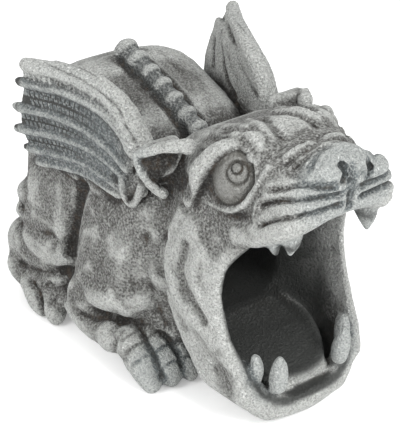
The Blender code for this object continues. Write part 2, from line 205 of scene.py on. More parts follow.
def ball(clay, centre, radii, turn=(0, 0, 0)):
    """Presses an ellipsoid into the clay; turn in degrees."""
    spin = Euler([math.radians(t) for t in turn]).to_matrix().to_4x4()
    place = Matrix.Translation(Vector(centre) * MM) @ spin @ Matrix.Diagonal([r * MM for r in radii] + [1])
    piece = bmesh.new()
    bmesh.ops.create_icosphere(piece, subdivisions=3, radius=1, matrix=place)
    pressed(clay, piece)


def both(clay, out, y, z, radii, turn=(0, 0, 0)):
    """The same ball on the right and the left side of the creature."""
    for side in RIGHT_AND_LEFT:
        ball(clay, (side * out, y, z), radii, (turn[0], side * turn[1], side * turn[2]))


both_hulls(clay, [(72, 44, 134, 20), (71, 4, 140, 19), (75, 38, 102, 21), (77, 4, 100, 19)])
both_hulls(clay, [(78, 46, 76, 22), (81, 2, 76, 17), (80, 24, 64, 20), (78, 66, 84, 14),
                  (77, 62, 118, 12)])
both(clay, 84, 62, 113, (12, 14, 13))
both(clay, 84, 66, 92, (13, 14, 11))
both(clay, 82, 72, 54, (20, 26, 26))
both_hulls(clay, [(80, 64, 52, 21), (84, 42, 38, 17), (82, 10, 46, 15), (86, 44, 28, 17)])
both_rolls(clay, [(86, 74, 30, 20), (90, 48, 24, 16), (92, 30, 24, 14)])
both_hulls(clay, [(61, -58, 150, 22), (66, -96, 148, 18), (70, -98, 116, 18), (79, -84, 104, 15),
                  (79, -92, 92, 16)])
both_hulls(clay, [(68, -44, 112, 22), (80, -32, 60, 16), (78, -60, 80, 18), (70, -62, 126, 20)])
both_rolls(clay, [(84, -48, 64, 15), (83, -80, 70, 18), (74, -106, 78, 17), (64, -120, 88, 13)])
both_rolls(clay, [(86, -22, 32, 16), (88, -50, 28, 17), (84, -84, 30, 18), (72, -104, 30, 18)])
both_rolls(clay, [(72, -30, 14, 16), (72, -60, 14, 16), (66, -100, 14, 16)])
both_hulls(clay, [(86, -22, 34, 16), (83, -32, 58, 15), (88, -46, 46, 15)])
both(clay, 90, -86, 31, (17, 20, 17))
both_hulls(clay, [(64, -106, 150, 15), (56, -128, 144, 16), (58, -126, 104, 18), (72, -104, 104, 14)])
both(clay, 56, -178, 180, (12, 14, 11))
both(clay, 67, -50, 138, (19, 18, 16))
both(clay, 62, -110, 138, (12, 14, 16))
both(clay, 60, -122, 106, (13, 12, 16))
both(clay, 82, -72, 90, (13, 14, 13))
both_hulls(clay, [(82, -50, 64, 15), (81, -88, 78, 18), (80, -98, 70, 16), (79, -92, 94, 15),
                  (72, -64, 96, 18), (66, -50, 110, 20)])
clay = fused(clay, BROAD_GRAIN, passes=9)

# The hollow: the way the water takes, in at the rump, through the belly, over the tongue and out between the
# jaws. The wall is about 12 mm thick over the back and thicker where the legs lie against it, and the floor
# is solid up to the level of the tongue.


def carved(clay, cutter):
    """The clay with the cutter's shape taken out of it."""
    body, tool = loose_object(clay, "body"), loose_object(cutter, "tool")
    cut = body.modifiers.new("Carve", "BOOLEAN")
    cut.operation = "DIFFERENCE"
    cut.object = tool
    clay = evaluated(body)
    bpy.data.objects.remove(tool)
    return clay


hollow = bmesh.new()
across(hollow, [(48, -268, 184, 6), (0, -284, 200, 8), (56, -216, 150, 8), (56, -220, 85, 8),
                (58, -206, 120, 8), (46, -245, 44, 6), (30, -262, 32, 6), (20, -150, 150, 20),
                (26, -150, 90, 20), (50, -190, 60, 8), (36, -190, 40, 10)])
across(hollow, [(24, -140, 130, 24), (24, -140, 84, 24), (30, -60, 160, 34), (36, -60, 90, 34)])
across(hollow, [(26, 16, 190, 44), (20, 40, 186, 40), (32, 50, 165, 36), (38, 50, 92, 34),
                (38, 18, 92, 34), (28, -50, 172, 36), (36, -50, 90, 34)])
across(hollow, [(40, 40, 127, 16), (40, 40, 73, 16), (40, 140, 127, 16), (40, 140, 73, 16)])
hollow = fused(hollow, BROAD_GRAIN, passes=6)
hollow_skin = BVHTree.FromBMesh(hollow)
clay = carved(clay, hollow)

# The features laid on the head and the feet, rolled out in clay and pressed on: the tongue with its rim, the
# lower lip, the ridges of the snout, the nose and the toes. The eye sockets are scooped out last.

TONGUE_GRAIN = 2.2
FEATURE_GRAIN = 1.8

tongue = bmesh.new()
across(tongue, [(18, -234, 32, 12), (33, -214, 38, 10), (42, -190, 46, 9), (42, -155, 54, 9),
                (20, -145, 46, 9), (30, -180, 18, 8)])
pressed(clay, fused(tongue, TONGUE_GRAIN, passes=10))
both_rolls(clay, [(0, -243, 40, 4.5), (17, -240, 40, 4.5), (31, -226, 43, 4.5), (41, -207, 48, 5),
                  (45, -186, 54, 5), (43, -158, 61, 5)])
both_rolls(clay, [(0, -247, 17, 9.5), (20, -246, 19, 9.5), (38, -241, 28, 9), (51, -234, 42, 8),
                  (57, -227, 60, 7)])
both_rolls(clay, [(38, -232, 244, 4.5), (31, -238, 252, 5), (20, -244, 258, 5), (8, -246, 261, 4)])
both_rolls(clay, [(35, -240, 238, 4), (29, -246, 247, 4.5), (20, -252, 254, 5), (9, -256, 258, 4)])
across(clay, [(12, -272, 250, 14), (22, -266, 246, 11), (6, -268, 250, 16), (8, -250, 250, 13)])
both_rolls(clay, [(30, -272, 244, 4), (25, -279, 239, 4), (17, -284, 238, 4), (9, -286, 242, 3.5)])
both_rolls(clay, [(98, 46, 26, 11), (101, 34, 20, 10.5), (103, 27, 14, 9.5), (102, 20, 8, 7.5)])
both_rolls(clay, [(84, 38, 28, 13), (87, 22, 25, 15), (92, 13, 19, 13), (96, 7, 12, 12), (98, 1, 8, 8.5)])
both_hulls(clay, [(94, 40, 20, 14), (86, 10, 22, 12), (84, -6, 30, 12), (98, 26, 12, 10)])
both_rolls(clay, [(86, -92, 31, 14), (86, -106, 33, 16.5), (87, -117, 27, 15), (88, -126, 22, 15.5),
                  (89, -135, 14, 12), (89, -141, 8, 9.5)])
both_rolls(clay, [(70, -106, 37, 15), (70, -120, 36, 15.5), (71, -130, 29, 14), (71, -138, 22, 14),
                  (70, -143, 13, 11), (70, -145, 8, 9)])
both_rolls(clay, [(58, -116, 34, 12), (57, -132, 30, 13), (56, -138, 24, 11.5), (55, -143, 17, 11),
                  (52, -149, 8, 8)])
both_hulls(clay, [(84, -100, 28, 13), (72, -108, 31, 14), (60, -116, 30, 12), (83, -126, 16, 12),
                  (64, -134, 17, 11)])
clay = fused(clay, FEATURE_GRAIN, passes=4)

sockets = bmesh.new()
both(sockets, 50, -210, 230, (18, 21, 24))
clay = carved(clay, sockets)

# The thin parts, put on last so that they stay crisp: teeth, eyeballs and brows, ears, the knuckly spine and
# the bat wings folded back along the flanks. They are modelled in the same clay and cast with the rest.

FINE_GRAIN = 1.25
LEFT_EAR_RISE = 6  # the left ear stands this much higher, as the modeller's hand left it
EYE = (46, -206, 226)

roll(clay, [(-40, -262, 203, 11), (-41, -265, 195, 8), (-42, -266, 184, 2.2)])
roll(clay, [(-49, -252, 202, 9), (-50, -254, 194, 7), (-50, -257, 184, 3)])
roll(clay, [(40, -262, 200, 11), (41, -264, 190, 8), (42, -264, 177, 2)])
both_rolls(clay, [(35, -248, 44, 7.5), (35, -249, 55, 8), (36, -251, 65, 6.8), (37, -252, 74, 3.2)])
both_rolls(clay, [(49, -236, 52, 6), (49, -236, 63, 6.5), (50, -236, 72, 3.5)])

both(clay, *EYE, (18.5, 22.5, 26))
both_rolls(clay, [(61, -164, 192, 6.5), (65, -168, 204, 7.5), (66, -175, 220, 8), (63, -184, 237, 8),
                  (56, -193, 249, 7.5), (49, -200, 254, 6.5), (44, -205, 254, 5)])
both(clay, 40.5, -197, 256, (8, 8, 7))
ball(clay, (44, -208, 250), (9.5, 10, 9.5))
both_rolls(clay, [(35, -205, 258, 7.5), (34, -213, 258, 8), (36, -220, 254, 6.5), (40, -222, 249, 5),
                  (44, -218, 248, 4.5)])
both_rolls(clay, [(60, -176, 199, 4), (61, -188, 203, 3.5), (61, -198, 204, 3.2), (61, -208, 205, 3.2),
                  (60, -218, 209, 3.2), (58, -228, 217, 3.4), (53, -234, 228, 3.6), (47, -236, 239, 4),
                  (41, -237, 247, 4)])

for side, rise in ((-1, 0), (1, LEFT_EAR_RISE)):
    upper = [(89, -126, 229, 3.5), (82, -136, 234, 4.5), (76, -144, 238, 5.5), (70, -152, 241, 6),
             (62, -162, 242, 7)]
    lower = [(89, -126, 227, 3.5), (85, -127, 213, 4), (79, -132, 201, 4.5), (72, -139, 193, 5)]
    back = [(87, -124, 228, 3), (80, -131, 234, 5), (66, -146, 236, 8), (56, -130, 230, 8),
            (58, -126, 202, 9), (74, -122, 198, 5), (80, -117, 214, 5)]
    for shape, run in ((roll, upper), (roll, lower), (hull, back)):
        shape(clay, [(side * x, y, z + rise, r) for x, y, z, r in run])

hull(clay, [(80, -143, 247, 2.5), (56, -136, 232, 8), (64, -162, 238, 7), (60, -130, 220, 8),
            (76, -138, 228, 5)])

# the spine: each vertebra is a wide, lumpy bead on one low ridge that runs down to the neck
VERTEBRAE = 8
SPINE_START, SPINE_LENGTH, SPINE_DROP = (13, 255), 124, 48
SPINE_TILT = -22

spine = []
for i in range(VERTEBRAE):
    t = i / (VERTEBRAE - 1)
    y, z = SPINE_START[0] - SPINE_LENGTH * t, SPINE_START[1] - SPINE_DROP * t**1.1
    bulk = 1.08 - 0.16 * t
    spine.append((0, y, z - 2, 8.5 * bulk))
    ball(clay, (0, y, z), (9.6 * bulk, 9.8 * bulk, 8.4 * bulk), (SPINE_TILT, 0, 12))
    ball(clay, (-5 * bulk, y + 1, z - 2), (6 * bulk, 8.4 * bulk, 7 * bulk), (SPINE_TILT, 0, 0))
roll(clay, spine)

# the wings: a top bar and five ribs with membranes stretched between them
MEMBRANE = 4  # half its thickness
RIB_TIP = 9  # how far a rib runs out past the membrane
RIB_RELIEF = 3.4  # how far a rib stands out from the membrane
wing_ribs = (  # from the tip to the root, the top bar first
    [(113, 1, 272), (94, -29, 268), (80, -65, 259), (75, -92, 242), (72, -108, 216)],
    [(107, 8, 252), (95, -34, 255), (84, -68, 249), (79, -90, 237), (76, -105, 219)],
    [(105, 21, 223), (96, -22, 228), (87, -56, 224), (81, -83, 214), (78, -100, 203)],
    [(103, 25, 200), (95, -19, 208), (87, -52, 208), (82, -76, 203), (78, -95, 194)],
    [(99, 16, 183), (93, -8, 186), (88, -39, 190), (84, -64, 188), (79, -90, 182)],
    [(94, 12, 170), (90, -17, 176), (86, -50, 181), (83, -69, 178), (79, -89, 174)],
)
for upper, lower in zip(wing_ribs, wing_ribs[1:]):
    for corners in zip(upper, upper[1:], lower[1:], lower):
        both_hulls(clay, [(*corner, MEMBRANE) for corner in corners])
rib_sizes = (3.5, 4.8, 4.4, 4.2, 4, 4)
for rib in wing_ribs[1:]:
    tip, inner = np.array(rib[0]), np.array(rib[1])
    tip = tip + (tip - inner) / np.linalg.norm(tip - inner) * RIB_TIP
    both_rolls(clay, [(x + RIB_RELIEF, y, z, r) for (x, y, z), r in zip((tip, *rib), rib_sizes)])
both_rolls(clay, [(*corner, r) for corner, r in zip(wing_ribs[0], (6.5, 8.5, 9.5, 9.5, 8.5))])
both_rolls(clay, [(95, -17, 272, 5), (84, -43, 269, 6.5), (76, -66, 262, 8), (71, -86, 251, 8),
                  (69, -99, 237, 8), (66, -109, 222, 8)])
both_hulls(clay, [(88, 15, 174, 5), (80, -60, 182, 5), (74, -100, 184, 5), (86, 12, 194, 4),
                  (80, -60, 200, 4), (70, 12, 190, 9), (68, -60, 186, 9), (66, -100, 176, 8),
                  (74, 10, 160, 8), (74, -60, 160, 8)])
both_hulls(clay, [(97, 1, 262, 4), (84, -29, 262, 6), (72, -65, 254, 7), (68, -90, 240, 7),
                  (66, -106, 218, 7), (97, 16, 224, 4), (94, 16, 200, 4), (84, -20, 200, 5),
                  (74, -56, 200, 6), (70, -95, 190, 7)])
both_rolls(clay, [(82, -95, 190, 5), (83, -99, 177, 3.5), (81, -105, 171, 3.5), (80, -112, 178, 3.5),
                  (79, -117, 192, 4)])
both_hulls(clay, [(78, -96, 186, 4), (77, -106, 177, 3), (75, -116, 184, 3), (72, -112, 200, 6),
                  (70, -100, 190, 8)])
clay = fused(clay, FINE_GRAIN, passes=1)

ear_hollows = bmesh.new()
for side, rise in ((-1, 0), (1, LEFT_EAR_RISE)):
    hull(ear_hollows, [(side * x, y, z + rise, r) for x, y, z, r in (
        (83, -131, 223, 3), (74, -142, 230, 4), (66, -149, 231, 5), (64, -152, 216, 5), (65, -146, 200, 5),
        (72, -138, 202, 4), (98, -160, 232, 5), (80, -178, 234, 6), (78, -180, 200, 6), (92, -166, 206, 5))])
clay = carved(clay, ear_hollows)

nostrils, rims = bmesh.new(), bmesh.new()
for x, y, outwards, size in ((-9, -288, -7, 1), (20, -287, 4, 0.55)):
    ball(nostrils, (x, y, 252), (7 * size, 13 * size, 9 * size), (15, 0, 2 * outwards))
    ball(rims, (x + outwards, y + 2, 251), (6 * size, 14 * size, 6.5 * size), (15, 0, 2 * outwards))
clay = fused(carved(clay, carved(nostrils, rims)), FINE_GRAIN, passes=0)

# The tooling: folds of skin, wrinkles and creases, drawn into the clay with a modelling tool before the
# mould was taken. Most are drawn alike on both sides; the right nostril and the inner side of the left wing
# have folds of their own.


def points_of(mesh):
    """Where its vertices lie, in millimetres."""
    values = np.empty(len(mesh.vertices) * 3, np.float32)
    mesh.vertices.foreach_get("co", values)
    return values.reshape(-1, 3).astype(float) / MM


def normals_of(mesh):
    values = np.empty(len(mesh.vertices) * 3, np.float32)
    mesh.vertex_normals.foreach_get("vector", values)
    return values.reshape(-1, 3).astype(float)


def eased_line(corners, steps):
    """A smooth line through corners of (x, y, z)."""
    return np.array(eased([(*corner, 0) for corner in corners], steps))[:, :3]


def nearest_on_run(points, run):
    """How far each point is from a run of straight pieces, how far along it that is, and its length."""
    best, along, walked = np.full(len(points), np.inf), np.zeros(len(points)), 0
    for a, b in zip(run, run[1:]):
        step = b - a
        length = np.linalg.norm(step)
        if not length:
            continue
        t = np.clip((points - a) @ step / length**2, 0, 1)
        gap = np.linalg.norm(points - a - t[:, None] * step, axis=1)
        nearer = gap < best
        best[nearer], along[nearer] = gap[nearer], walked + t[nearer] * length
        walked += length
    return best, along, walked


LIFT_OFF = 8  # the tool is eased in and out over this length of a stroke


def stroke(corners, radius, depth, sides=RIGHT_AND_LEFT):
    """Draws the tool through corners of (x, y, z); a depth above 0 mm is a fold, and below 0 a groove."""
    run = eased_line(corners, 6)
    for side in sides:
        mirrored = np.array([skin_tree.find_nearest(Vector(p * [side, 1, 1]) * MM)[0] for p in run]) / MM
        low, high = mirrored.min(0) - 2.5 * radius, mirrored.max(0) + 2.5 * radius
        near = np.flatnonzero(np.all((skin > low) & (skin < high), axis=1))
        gap, along, length = nearest_on_run(skin[near], mirrored)
        pressure = np.clip(np.minimum(along, length - along) / min(LIFT_OFF, length / 4), 0, 1)
        lift = depth * pressure * np.exp(-((gap / radius) ** 2))
        skin[near] += lift[:, None] * skin_normals[near]


def ring(centre, radius, width, depth):
    """A circle of that radius round a point on the skin."""
    for side in RIGHT_AND_LEFT:
        gap = np.linalg.norm(skin - np.array(centre) * [side, 1, 1], axis=1)
        near = np.flatnonzero(gap < radius + 3 * width)
        lift = depth * np.exp(-(((gap[near] - radius) / width) ** 2))
        skin[near] += lift[:, None] * skin_normals[near]


skin_tree = BVHTree.FromBMesh(clay)
statue = loose_object(clay, "statue")
skin = points_of(statue.data)
skin_normals = normals_of(statue.data)

# the folds of the cheek, from the outer one in
stroke([(73, -142, 160), (77, -134, 135), (80, -140, 112), (80, -158, 92), (76, -180, 74)], 6, -2.5)
stroke([(65, -161, 188), (70, -148, 160), (73, -144, 132), (77, -158, 116), (78, -178, 99),
        (75, -202, 88), (71, -215, 78)], 7, 3.5)
stroke([(72, -172, 166), (75, -170, 156), (77, -167, 134), (77, -177, 118), (76, -195, 105),
        (75, -206, 94)], 6, -3.5)
stroke([(72, -190, 168), (73, -184, 150), (74, -186, 130), (75, -198, 110), (73, -210, 95)], 5, 2.5)
# the lip pads
stroke([(52, -245, 234), (47, -256, 239), (37, -268, 243), (24, -281, 243), (10, -289, 240)], 2.6, -3.6)
stroke([(56, -240, 219), (52, -257, 230), (43, -275, 236), (24, -284, 237), (5, -287, 235)], 2.6, -5)
stroke([(61, -243, 205), (55, -262, 216), (46, -279, 225), (26, -287, 228), (5, -287, 226)], 2.6, -5.5)
stroke([(53, -244, 228), (57, -240, 221), (59, -239, 213), (60, -241, 206)], 2.6, 2)
stroke([(60, -250, 198), (52, -272, 210), (40, -286, 219), (22, -290, 221)], 1.5, -1)
stroke([(58, -256, 196), (48, -278, 208), (34, -287, 214)], 1.5, -0.8)
stroke([(0, -288, 238), (0, -288, 229), (0, -287, 221), (0, -283, 213)], 3.5, -3.2)
# nose and bridge
stroke([(31, -270, 250), (26, -266, 256), (14, -263, 263), (0, -264, 266)], 2.8, -2, sides=(-1,))
stroke([(32, -268, 244), (27, -277, 241), (18, -284, 243), (13, -286, 247)], 2.2, -2.6, sides=(-1,))
stroke([(0, -286, 262), (0, -288, 250), (0, -288, 240)], 4, -1)
stroke([(41, -236, 248), (33, -238, 254), (24, -240, 259), (10, -241, 262), (0, -241, 262)], 2.4, -2)
stroke([(38, -243, 247), (32, -247, 252), (22, -250, 258), (10, -252, 261), (0, -252, 262)], 2.4, -2)
stroke([(36, -251, 246), (29, -254, 252), (20, -257, 258), (8, -259, 263), (0, -259, 264)], 2.4, -1.6)
# forehead
stroke([(42, -157, 243), (43, -172, 247), (44, -183, 252), (40, -192, 258)], 3, -2)
stroke([(35, -166, 250), (35, -186, 257), (34, -200, 263), (30, -212, 266)], 3, -2)
stroke([(5, -180, 259), (12, -200, 265), (17, -218, 264), (18, -231, 261)], 3.4, -2.6)
stroke([(10, -170, 255), (20, -192, 263), (25, -210, 265), (26, -226, 261)], 4, 2)
stroke([(28, -160, 246), (26, -180, 256), (30, -198, 263)], 4, 1.6)
# eye: iris and pupil
EYE_RINGS = (((57, -217, 240), 9.5), ((56, -215, 243), 4.8))  # centre and radius
for (centre, radius), width in zip(EYE_RINGS, (1.3, 1.2)):
    ring(centre, radius, width, -2.4)
# back, beside the spine
stroke([(13, 14, 248), (13, -20, 242), (13, -60, 228), (12, -104, 203)], 3, -1.6)
for a, b in zip(spine, spine[1:]):
    y, z = (a[1] + b[1]) / 2, (a[2] + b[2]) / 2 + 10
    stroke([(-10, y, z - 8), (0, y, z), (10, y, z - 8)], 1.6, -1.1, sides=(1,))
# thigh, knee and hock
stroke([(92, -42, 168), (84, -29, 150), (81, -22, 130), (83, -16, 110), (84, -12, 94),
        (88, -8, 74)], 6, -7)
stroke([(92, 40, 140), (93, 38, 110)], 12, 2.5)
stroke([(97, 74, 78), (97, 56, 84), (96, 36, 88), (95, 16, 92), (92, -2, 92)], 7, -2.2)
stroke([(101, 70, 66), (98, 46, 68), (98, 24, 72), (97, 4, 80)], 10, 2)
stroke([(102, 66, 42), (96, 48, 42), (92, 30, 44), (90, 14, 50), (89, -4, 58), (90, -22, 66)], 5, -3.5)
stroke([(97, 68, 101), (93, 56, 98)], 5, -2.5)
stroke([(99, 40, 32), (97, 26, 24), (98, 14, 14), (99, 8, 6)], 3, -3)
# shoulder, arm and wrist
stroke([(87, -76, 138), (88, -88, 124), (88, -88, 110)], 14, 1.5)
stroke([(87, -20, 44), (92, -36, 66), (94, -46, 82), (92, -62, 96)], 7, 2)
stroke([(95, -30, 40), (97, -40, 54), (98, -50, 66)], 8, -1.6)
stroke([(96, -50, 44), (102, -74, 62), (102, -88, 72), (94, -101, 82)], 10, 2.5)
stroke([(98, -40, 38), (97, -66, 41), (91, -84, 45), (83, -102, 49)], 4, -2)
stroke([(76, -118, 150), (75, -120, 119), (75, -122, 101), (74, -126, 83), (70, -130, 64),
        (66, -137, 50)], 6, -2)
stroke([(84, -22, 76), (92, -18, 50), (98, -14, 30)], 6, -3)
stroke([(103, -102, 26), (99, -104, 40), (88, -106, 45)], 3.4, -2)
# creases between the toes and across their knuckles
stroke([(79, -106, 46), (79, -118, 42), (80, -130, 34), (80, -142, 22), (81, -148, 10)], 2.4, -3.5)
stroke([(64, -118, 44), (64, -132, 38), (64, -142, 28), (62, -149, 14)], 2.4, -3.5)
for out, y, z, half in (
    (90, -112, 45, 12), (91, -122, 39, 12), (92, -132, 31, 10), (72, -126, 47, 11), (72, -137, 38, 10),
    (72, -146, 26, 8), (57, -139, 38, 9), (55, -148, 26, 8), (88, 14, 40, 12), (95, 2, 28, 10),
):
    stroke([(out - half, y + 4, z - 7), (out, y - 1, z + 2), (out + half, y + 4, z - 7)], 1.8, -1.6)
# flutes down the inner side of the left wing
stroke([(88, -17, 268), (76, -30, 248), (73, -41, 227), (66, -67, 213)], 4, -2.5, sides=(1,))
stroke([(90, -22, 270), (72, -56, 258), (63, -81, 242), (60, -102, 228)], 3.5, -2, sides=(1,))
stroke([(88, -6, 252), (86, -6, 240), (82, -9, 219)], 4, -2.5, sides=(1,))
stroke([(84, -24, 262), (78, -44, 244), (70, -62, 226)], 5, 1.5, sides=(1,))
# the groove along the top bar of the wing, and the puckers of the membranes from rib to rib
stroke([(104, -14, 275), (93, -43, 271), (85, -66, 264), (79, -84, 254), (77, -97, 240),
        (74, -108, 224)], 2, -2)
for upper, lower in zip(wing_ribs, wing_ribs[1:]):
    over, under = (eased_line(rib, 8)[:-5] for rib in (upper, lower))
    for a, b in zip(over, under):
        stroke([a * 0.8 + b * 0.2 + (4, 0, 0), a * 0.2 + b * 0.8 + (4, 0, 0)], 1.4, 1.3)

statue.data.vertices.foreach_set("co", (skin * MM).astype(np.float32).ravel())
statue.data.update()

# The casting: poured in a rubber mould taken off the clay. Its skin is rough and a little lumpy, except in
# the eyes and the hollow. It is sliced flat underneath, so that it stands, and at the rump, where the flat
# lies above and below the inlet.

REAR = 96  # flat face of the rump, behind the middle of the back
TRIANGLES = 192000  # the skin is thinned to this many before it is sliced
LUMPS = 0.55  # how far the cast skin is uneven
BROAD_LUMP, SMALL_LUMP = 9, 4.2  # how wide the lumps are


def sliced(clay, height, axis):
    """Cuts off what lies beyond the plane and closes the cut, but for a loop inside another."""
    cut = bmesh.ops.bisect_plane(
        clay,
        geom=[*clay.verts, *clay.edges, *clay.faces],
        dist=1e-7,
        plane_co=axis * height * MM,
        plane_no=axis,
        clear_outer=True,
    )
    rim = [g for g in cut["geom_cut"] if isinstance(g, bmesh.types.BMEdge)]
    bmesh.ops.triangle_fill(clay, use_beauty=True, edges=rim, normal=axis)


soften = statue.modifiers.new("Soften", "SMOOTH")
soften.factor = 0.5
soften.iterations = 2
thin = statue.modifiers.new("Facets", "DECIMATE")
statue.data.calc_loop_triangles()
thin.ratio = TRIANGLES / len(statue.data.loop_triangles)
clay = evaluated(statue)
bmesh.ops.triangulate(clay, faces=clay.faces)
sliced(clay, REAR, Vector((0, 1, 0)))
sliced(clay, 0, Vector((0, 0, -1)))
bmesh.ops.triangulate(clay, faces=clay.faces)
bmesh.ops.recalc_face_normals(clay, faces=clay.faces)
casting = loose_object(clay, "gargoyle_casting")
skin = points_of(casting.data)
skin_normals = normals_of(casting.data)


def folded_skin():
    """The skin with its right side folded over onto its left."""
    return np.column_stack((abs(skin[:, 0]), skin[:, 1], skin[:, 2]))


def near_to(centre, reach, soft):
    """1 at a place on either side of the creature, falling to 0 beyond reach."""
    gap = np.linalg.norm((folded_skin() - np.array(centre)) / np.array(reach), axis=1)
    return np.clip((1 - gap) / soft + 0.5, 0, 1)


HOLLOW_REACH = 4  # the skin lies in the hollow if it is this close to its wall and faces inwards
in_hollow = np.zeros(len(skin))
for i, point in enumerate(skin):
    hit = hollow_skin.find_nearest(Vector(point) * MM, HOLLOW_REACH * MM)
    if hit[0] is not None and Vector(skin_normals[i]).dot(hit[1]) < 0.2:
        in_hollow[i] = 1
on_tongue = near_to((0, -196, 52), (52, 58, 26), 0.15)
in_hollow = np.maximum(in_hollow, on_tongue)
# painted light: the inner wall of the left jaw, near the mouth's edge, is kept lighter than the rest of the
# hollow
left_jaw = [(60, -236, 40), (64, -222, 72), (66, -206, 112), (64, -204, 138), (56, -212, 165)]
on_left_jaw = np.clip(1.5 - nearest_on_run(skin, np.array(left_jaw, float))[0] / 14, 0, 1)
in_hollow *= 1 - 0.85 * on_left_jaw
in_eye = near_to(EYE, (19.4, 23.4, 26.9), 0.06)
free = (1 - in_hollow) * (1 - in_eye) * (skin[:, 2] > 0.5) * (skin[:, 1] < REAR - 0.5)
lumps = [noise.noise(Vector(p) / BROAD_LUMP) + 0.6 * noise.noise(Vector(p) / SMALL_LUMP) for p in skin]
skin += skin_normals * (np.array(lumps) * free * LUMPS)[:, None]
casting.data.vertices.foreach_set("co", (skin * MM).astype(np.float32).ravel())
casting.data.update()

# Its finish: painted as a mid-grey stone, with a brown-black wash that stays in the recesses and a pale grey
# dry brush over every edge and swelling. Painted light and shade are laid in with these coats: the stone is
# painted lighter on its swellings and darker in its hollows, the wash is deepened as painted shade in the
# creases, the ear and the nostril, the hollow is painted near black, partly as shade, and painted highlights
# brighten the lips, the cheek, the left wing and the left jaw. How deep each place lies is measured from the
# shape itself, and the places that take more or less of a coat are listed one by one.

edges = np.empty(len(casting.data.edges) * 2, np.int32)
casting.data.edges.foreach_get("vertices", edges)
one, other = edges.reshape(-1, 2).T
count = np.bincount(one, minlength=len(skin)) + np.bincount(other, minlength=len(skin))


def softened(values, passes):
    """Values on the vertices after that many passes of averaging with their neighbours."""
    for _ in range(passes):
        total = [
            np.bincount(one, column[other], len(skin)) + np.bincount(other, column[one], len(skin))
            for column in values.T
        ]
        values = 0.5 * values + 0.5 * np.stack(total, 1) / np.maximum(count, 1)[:, None]
    return values


def standing_out(passes, span):
    """How far each place stands out from the skin smoothed over its surroundings; 1 at span."""
    out = ((skin - softened(skin, passes)) * skin_normals).sum(1)
    return np.clip(softened(out[:, None], 2)[:, 0] / span, -1, 1)


def painted(name, values):
    """Keeps how strongly each place takes one coat of the paint; some coats are painted light and shade."""
    layer = casting.data.attributes.new(name, "FLOAT", "POINT")
    layer.data.foreach_set("value", values.astype(np.float32))


crisp, broad, vast = standing_out(10, 1.2), standing_out(60, 6), standing_out(300, 16)
folded = folded_skin()
bar = eased_line(wing_ribs[0], 4)
on_bar = np.clip(1.6 - nearest_on_run(folded, bar)[0] / 12, 0, 1)
# painted highlights: the lips and chin, the cheek and the inner side of the left wing are painted lighter
lips = near_to((30, -270, 205), (40, 40, 16), 0.4) + near_to((20, -252, 24), (52, 26, 34), 0.4)
cheek = near_to((70, -178, 108), (18, 54, 74), 0.5)
left_wing = near_to((84, -50, 240), (40, 60, 50), 0.4) * (skin[:, 0] > 0)
painted_highlight = np.clip(lips + 0.8 * cheek + 0.6 * left_wing, 0, 1)  # painted highlights where the light falls brightest
on_spine = np.clip(2 - nearest_on_run(skin, np.array(spine)[:, :3])[0] / 8, 0, 1)
# the pale dry brush on the edges, with painted highlights on the broad swellings, the lips, the cheek, the
# left wing and the left jaw
raised = 0.9 * crisp + 0.15 * broad + 0.2 * vast + 0.02
raised += 0.35 * on_bar + 0.5 * painted_highlight + 0.35 * on_left_jaw - 0.15 * on_spine
painted("ridge", np.clip(raised, 0, 1))
# painted shade: the top of the back, in the valley between the wings and the spine, is painted darker
on_back = near_to((45, -40, 240), (45, 90, 45), 0.6)
# painted light and shade: the stone is painted lighter on the swellings of the form and darker in its
# hollows
painted("swell", np.clip(0.5 + 0.3 * broad + 0.45 * vast - 0.5 * on_back + 0.35 * painted_highlight, 0, 1))
# painted shade inside the right ear's hollow
in_ear = near_to((72, -146, 213), (16, 18, 22), 0.25) * (skin[:, 0] < 0)
rings = np.zeros(len(skin))
for centre, radius in EYE_RINGS:
    for side in RIGHT_AND_LEFT:
        gap = np.linalg.norm(skin - np.array(centre) * [side, 1, 1], axis=1)
        rings = np.maximum(rings, (1 - 0.05 * radius) * np.exp(-(((gap - radius) / 1.3) ** 2)) * in_eye)
socket_edge = near_to(EYE, (21, 25, 28.5), 0.06) - in_eye
# painted shade inside the right nostril, round its rim
right_nostril = np.linalg.norm((skin - (-9, -288, 252)) / (7.6, 14, 9.8), axis=1) < 1
right_nostril &= np.linalg.norm((skin - (-16, -286, 251)) / (6, 14, 6.5), axis=1) > 1.15
# creases darkened by the wash and by painted shade: the width, the strength and the line of each crease
CREASE_END = 12  # the darkening thins out over this length at both ends of a crease
darkened_creases = (
    (5, 0.95, [(90, -44, 176), (82, -26, 160), (80, -22, 139), (79, -18, 111), (79, -13, 87), (83, -4, 66),
               (82, 12, 51)]),
    (4, 0.25, [(97, 74, 76), (93, 59, 76), (94, 21, 90), (88, -12, 106)]),
    (4, 0.8, [(86, -10, 62), (88, -26, 46), (92, -22, 24), (98, -12, 6)]),
    (3, 0.35, [(98, -40, 38), (97, -66, 41), (91, -84, 45), (83, -102, 49), (74, -116, 56)]),
    (4, 0.3, [(74, -122, 119), (74, -124, 101), (73, -128, 83), (69, -132, 64), (65, -139, 48),
              (62, -150, 30)]),
    (5, 0.6, [(90, 10, 164), (86, -20, 166), (82, -60, 168), (80, -88, 164)]),
    (6, 1.3, [(52, -218, 50), (46, -230, 40), (36, -242, 32), (21, -247, 29), (0, -247, 29), (0, -247, 28)]),
    (2, 0.35, [(13, 14, 248), (13, -20, 242), (13, -60, 228), (12, -104, 203)]),
)
crease_wash_and_shade = np.zeros(len(skin))
for width, strength, crease in darkened_creases:
    gap, along, length = nearest_on_run(folded, eased_line(crease, 4))
    fading = np.clip(np.minimum(along, length - along) / CREASE_END, 0, 1)
    crease_wash_and_shade = np.maximum(crease_wash_and_shade, strength * fading * np.exp(-((gap / width) ** 2)))
